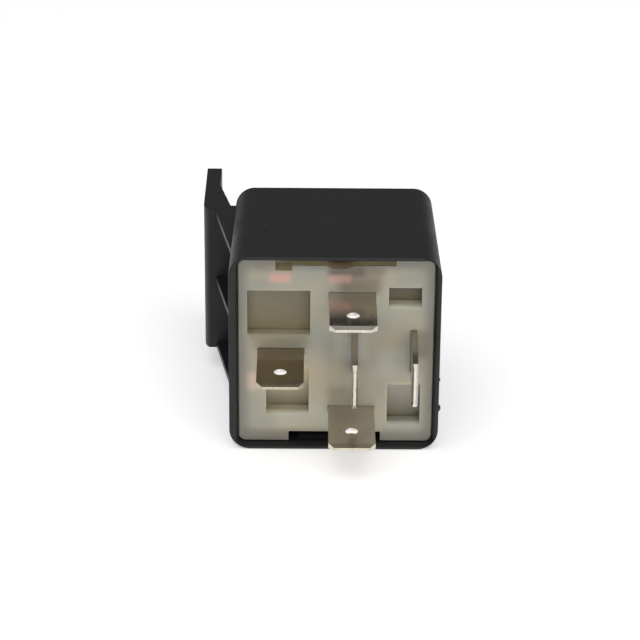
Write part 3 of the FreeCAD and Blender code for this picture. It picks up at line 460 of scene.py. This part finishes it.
def enamelled_copper():
    g = Graph("enamelled_copper")
    cloud = g.noise(1.6 * MM, 4)
    body = g.mix(cloud, colour(178, 92, 44), colour(128, 58, 26))
    rough = g.ramp(g.noise(0.5 * MM, 3), 0.3, 0.7, 0.20, 0.34)
    normal = g.bump(g.noise(0.2 * MM, 2), 0.006 * MM, 0.3)
    g.set(Base_Color=body, Metallic=0.85, Roughness=rough, Normal=normal)
    g.set(Coat_Weight=0.6, Coat_Roughness=0.15)
    return g.material


def floor_paint():
    g = Graph("floor_paint")
    cloud = g.noise(60 * MM, 3)
    body = g.mix(cloud, (0.90, 0.90, 0.90, 1), (0.93, 0.93, 0.93, 1))
    normal = g.bump(g.noise(0.8 * MM, 2), 0.02 * MM, 0.1)
    g.set(Base_Color=body, Roughness=0.75, Normal=normal, Specular_IOR_Level=0.2)
    away = g.add("ShaderNodeVectorMath", {"operation": "LENGTH"}, Vector=g.place).outputs["Value"]
    glow = g.ramp(away, FLOOR_FADE[0], FLOOR_FADE[1], FLOOR_GLOW, FLOOR_GLOW_FAR)
    g.set(Emission_Color=(1, 1, 1, 1), Emission_Strength=glow)
    return g.material


# ---- mesh helpers ------------------------------------------------------------------------------------
def new_piece(name, vertices, faces, material):
    mesh = bpy.data.meshes.new(name)
    mesh.from_pydata([tuple(v) for v in vertices], [], faces)
    mesh.update()
    piece = bpy.data.objects.new(name, mesh)
    bpy.context.scene.collection.objects.link(piece)
    piece.data.materials.append(material)
    for polygon in mesh.polygons:
        polygon.use_smooth = True
    return piece


def ring_faces(rings, around):
    """Quads that join each ring of points to the next."""
    faces = []
    for ring in range(rings - 1):
        for k in range(around):
            a, b = ring * around + k, ring * around + (k + 1) % around
            faces.append((a, b, b + around, a + around))
    return faces


def dress(node, material, bevel=None, sheet=False):
    """Gives a CAD node its material and, where wanted, slightly rounded edges. On sheet metal each
    flat face becomes one polygon first and keeps its own normals right up to its bends."""
    piece = frame["nodes"][node]
    piece.data.materials.clear()
    piece.data.materials.append(material)
    if bevel:
        weld = piece.modifiers.new("weld", "WELD")
        weld.merge_threshold = WELD
        if sheet:
            planar = piece.modifiers.new("planar", "DECIMATE")
            planar.decimate_type = "DISSOLVE"
            planar.angle_limit = math.radians(FLAT_WITHIN)
        edge = piece.modifiers.new("bevel", "BEVEL")
        edge.width = bevel
        edge.segments = 2
        edge.limit_method = "ANGLE"
        edge.angle_limit = math.radians(BEVEL_FROM)
        edge.use_clamp_overlap = True
        edge.harden_normals = True
    if sheet:
        even = piece.modifiers.new("even", "WEIGHTED_NORMAL")
        even.weight = 100
        even.keep_sharp = True


# ---- pieces built here ---------------------------------------------------------------------------------
def coil_turns(material):
    """The winding as rows of round wire laid side by side on the bobbin."""
    low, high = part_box("coil_winding")
    centre = (low + high) / 2
    radius = (high.x - low.x) / 2
    turns = int((high.y - low.y) / WIRE)
    pitch = (high.y - low.y) / turns
    rng = random.Random(SEED)
    vertices = []
    rows = turns * WIRE_ROWS + 1
    for row in range(rows):
        turn, step = divmod(row, WIRE_ROWS)
        if step == 0:
            lift = rng.uniform(-WIRE_SINK, 0.0)
        crown = math.sin(math.pi * step / WIRE_ROWS)
        slant = pitch * WIRE_SLANT * (0 < row < rows - 1)
        for k in range(WIRE_AROUND):
            angle = 2 * math.pi * k / WIRE_AROUND
            spot = Vector((math.cos(angle) * 2, math.sin(angle) * 2, turn * 0.4))
            wobble = WIRE_WOBBLE * (noise.noise(spot) - 1)
            r = radius + (0.5 * WIRE) * (crown - 1) + lift * crown + wobble
            y = low.y + (row / WIRE_ROWS) * pitch + slant * math.sin(angle)
            y = min(max(y, low.y), high.y)
            vertices.append((centre.x + r * math.cos(angle), y, centre.z + r * math.sin(angle)))
    faces = ring_faces(rows, WIRE_AROUND)
    first_ring, last_ring = 0, (rows - 1) * WIRE_AROUND
    for ring, y in ((first_ring, low.y), (last_ring, high.y)):
        start = len(vertices)
        for k in range(WIRE_AROUND):
            angle = 2 * math.pi * k / WIRE_AROUND
            hub_x, hub_z = COIL_HUB * math.cos(angle), COIL_HUB * math.sin(angle)
            vertices.append((centre.x + hub_x, y, centre.z + hub_z))
        for k in range(WIRE_AROUND):
            nxt = (k + 1) % WIRE_AROUND
            quad = (ring + k, ring + nxt, start + nxt, start + k)
            faces.append(quad if ring else quad[::-1])
    near_hub, far_hub = len(vertices) - 2 * WIRE_AROUND, len(vertices) - WIRE_AROUND
    for k in range(WIRE_AROUND):
        nxt = (k + 1) % WIRE_AROUND
        faces.append((near_hub + nxt, near_hub + k, far_hub + k, far_hub + nxt))
    return new_piece("coil_turns", vertices, faces, material)


def leaf_spring(material):
    """The contact leaf as its own mesh, cut finely across its loop so that it can bend there."""
    source = frame["nodes"]["contact_leaf_spring"]
    mesh = bmesh.new()
    mesh.from_mesh(source.data)
    bmesh.ops.remove_doubles(mesh, verts=mesh.verts, dist=WELD)
    bmesh.ops.dissolve_limit(mesh, angle_limit=math.radians(1), verts=mesh.verts, edges=mesh.edges)
    for i in range(LEAF_CUTS + 1):
        y = LEAF_BEND_LOW + (LEAF_BEND_HIGH - LEAF_BEND_LOW) * i / LEAF_CUTS
        everything = mesh.verts[:] + mesh.edges[:] + mesh.faces[:]
        bmesh.ops.bisect_plane(
            mesh, geom=everything, plane_co=(0, y, 0), plane_no=(0, 1, 0), dist=0.001 * MM
        )
    bmesh.ops.triangulate(mesh, faces=[face for face in mesh.faces if len(face.verts) > 4])
    data = bpy.data.meshes.new("leaf_spring")
    mesh.to_mesh(data)
    mesh.free()
    for polygon in data.polygons:
        polygon.use_smooth = False
    leaf = bpy.data.objects.new("leaf_spring", data)
    bpy.context.scene.collection.objects.link(leaf)
    data.materials.clear()
    data.materials.append(material)
    return leaf


def solder_joint(name, side, material):
    """A blob of solder over the wound wire at the end of a coil post; side is the sign of z."""
    lead_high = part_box("coil_leads")[1]
    post_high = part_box("terminal_86" if side > 0 else "terminal_85")[1]
    centre = Vector((
        lead_high.x - LEAD_REACH,
        post_high.y - SOLDER_BELOW_TIP,
        post_high.z - BLADE_THICK / 2,
    ))
    vertices = []
    for row in range(SOLDER_ROWS + 1):
        share = row / SOLDER_ROWS
        swell = math.sin(math.pi * share) ** SOLDER_FULLNESS
        for k in range(SOLDER_AROUND):
            angle = 2 * math.pi * k / SOLDER_AROUND
            spot = Vector((math.cos(angle), math.sin(angle), 3 * share + 7 * side))
            lump = noise.noise(spot * SOLDER_LUMP_SCALE)
            rx = (SOLDER_HALF[0] + SOLDER_LUMP[0] * lump) * swell * MM
            rz = (SOLDER_HALF[2] + SOLDER_LUMP[2] * lump) * swell * MM
            along = SOLDER_HALF[1] * MM * (2 * share - 1) * (1 + SOLDER_LUMP[1] * lump * swell)
            place = (rx * math.cos(angle), along, rz * math.sin(angle))
            vertices.append(centre + Vector(place))
    faces = ring_faces(SOLDER_ROWS + 1, SOLDER_AROUND)
    faces.append(tuple(range(SOLDER_AROUND)))
    faces.append(tuple(SOLDER_ROWS * SOLDER_AROUND + k for k in reversed(range(SOLDER_AROUND))))
    return new_piece(name, vertices, faces, material)


# ---- stage -------------------------------------------------------------------------------------------
def build_floor(material):
    across = FLOOR_STEPS + 1
    ticks = [FLOOR_HALF * (2 * i / FLOOR_STEPS - 1) for i in range(across)]
    vertices = [(x, y, CAD_BOUNDS[0][2]) for x in ticks for y in ticks]
    faces = []
    for i in range(FLOOR_STEPS):
        for j in range(FLOOR_STEPS):
            a = i * across + j
            faces.append((a, a + across, a + across + 1, a + 1))
    new_piece("floor", vertices, faces, material)


def area_light(name, place, size, energy):
    data = bpy.data.lights.new(name, "AREA")
    data.shape = "RECTANGLE"
    data.size, data.size_y = size
    data.energy = energy
    light = bpy.data.objects.new(name, data)
    light.location = place
    light.rotation_euler = (-Vector(place)).to_track_quat("-Z", "Y").to_euler()
    bpy.context.scene.collection.objects.link(light)


def build_light():
    """Soft surroundings that are dimmer than they look to the camera, and three area lights."""
    world = bpy.data.worlds.new("studio")
    bpy.context.scene.world = world
    world.use_nodes = True
    tree = world.node_tree
    background = tree.nodes["Background"]
    place = tree.nodes.new("ShaderNodeTexCoord")
    parts = tree.nodes.new("ShaderNodeSeparateXYZ")
    tree.links.new(place.outputs["Generated"], parts.inputs[0])
    shade = tree.nodes.new("ShaderNodeMapRange")
    shade.interpolation_type = "SMOOTHSTEP"
    shade.inputs["From Min"].default_value = WORLD_TURN[0]
    shade.inputs["From Max"].default_value = WORLD_TURN[1]
    shade.inputs["To Min"].default_value = WORLD_FRONT
    shade.inputs["To Max"].default_value = WORLD_BACK
    tree.links.new(parts.outputs["Y"], shade.inputs["Value"])
    seen = tree.nodes.new("ShaderNodeMix")
    tree.links.new(tree.nodes.new("ShaderNodeLightPath").outputs["Is Camera Ray"], seen.inputs[0])
    tree.links.new(shade.outputs[0], seen.inputs[2])
    seen.inputs[3].default_value = BACKDROP
    tree.links.new(seen.outputs[0], background.inputs["Strength"])
    background.inputs["Color"].default_value = WORLD_TINT
    for light in LIGHTS:
        area_light(*light)


def build_camera():
    elevation, yaw, roll = (math.radians(a) for a in (CAMERA_ELEVATION, CAMERA_YAW, CAMERA_ROLL))
    level = math.cos(elevation)
    forward = Vector((level * math.sin(yaw), level * math.cos(yaw), -math.sin(elevation)))
    right = Vector((math.cos(yaw), -math.sin(yaw), 0))
    up = right.cross(forward)
    right, up = (
        right * math.cos(roll) - up * math.sin(roll),
        right * math.sin(roll) + up * math.cos(roll),
    )
    data = bpy.data.cameras.new("camera")
    data.lens = CAMERA_LENS
    data.sensor_width = SENSOR_WIDTH
    data.clip_start = CAMERA_CLIP
    camera = bpy.data.objects.new("camera", data)
    place = -(right * RIM_RIGHT_OF_AXIS + up * RIM_ABOVE_AXIS + forward * CAMERA_DISTANCE)
    turn = Matrix((right, up, -forward)).transposed()
    camera.matrix_world = Matrix.Translation(place) @ turn.to_4x4()
    bpy.context.scene.collection.objects.link(camera)
    bpy.context.scene.camera = camera


def dress_cad_nodes(metals, copper):
    """Materials and rounded edges for the pieces that come from the CAD model."""
    dress("cover", cover_plastic())
    dress("base", base_plastic(), BASE_BEVEL)
    mounts = {mount["name"]: mount for mount in frame["record"]["mounts"]}
    for number, (tarnish_and_shade, tip_tone) in BLADE_TARNISH_AND_SHADE.items():
        tin = tinned_metal("tin_" + number, tarnish_and_shade, tip_tone, mounts["blade_hole_" + number])
        dress("terminal_" + number, tin, BLADE_BEVEL, sheet=True)
    for node in ("yoke", "core", "armature"):
        dress(node, metals["zinc_steel"], STEEL_BEVEL)
    for node in ("terminal_30_rivets", "yoke_spring_rivets", "armature_rivets"):
        dress(node, metals["rivet_metal"])
    for node in ("contact_normally_open", "contact_normally_closed", "moving_contact"):
        dress(node, metals["contact_silver"])
    dress("bobbin", bobbin_plastic(), BOBBIN_BEVEL)
    dress("coil_leads", copper)


def add_pieces(metals, copper):
    """The winding and the solder, each on its body, and the bending leaf spring."""
    turns = coil_turns(copper)
    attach(turns, "base_assembly")
    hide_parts("coil_winding")
    leaf = leaf_spring(metals["spring_bronze"])
    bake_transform(leaf)
    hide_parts("contact_leaf_spring")
    for name, side in (("solder_85", -1), ("solder_86", 1)):
        joint = solder_joint(name, side, metals["solder"])
        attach(joint, "base_assembly")


def main():
    metals = {name: rolled_metal(name, *values) for name, values in METALS.items()}
    copper = enamelled_copper()
    dress_cad_nodes(metals, copper)
    add_pieces(metals, copper)
    build_floor(floor_paint())
    build_light()
    build_camera()
    bpy.context.scene.view_settings.view_transform = "Standard"


main()
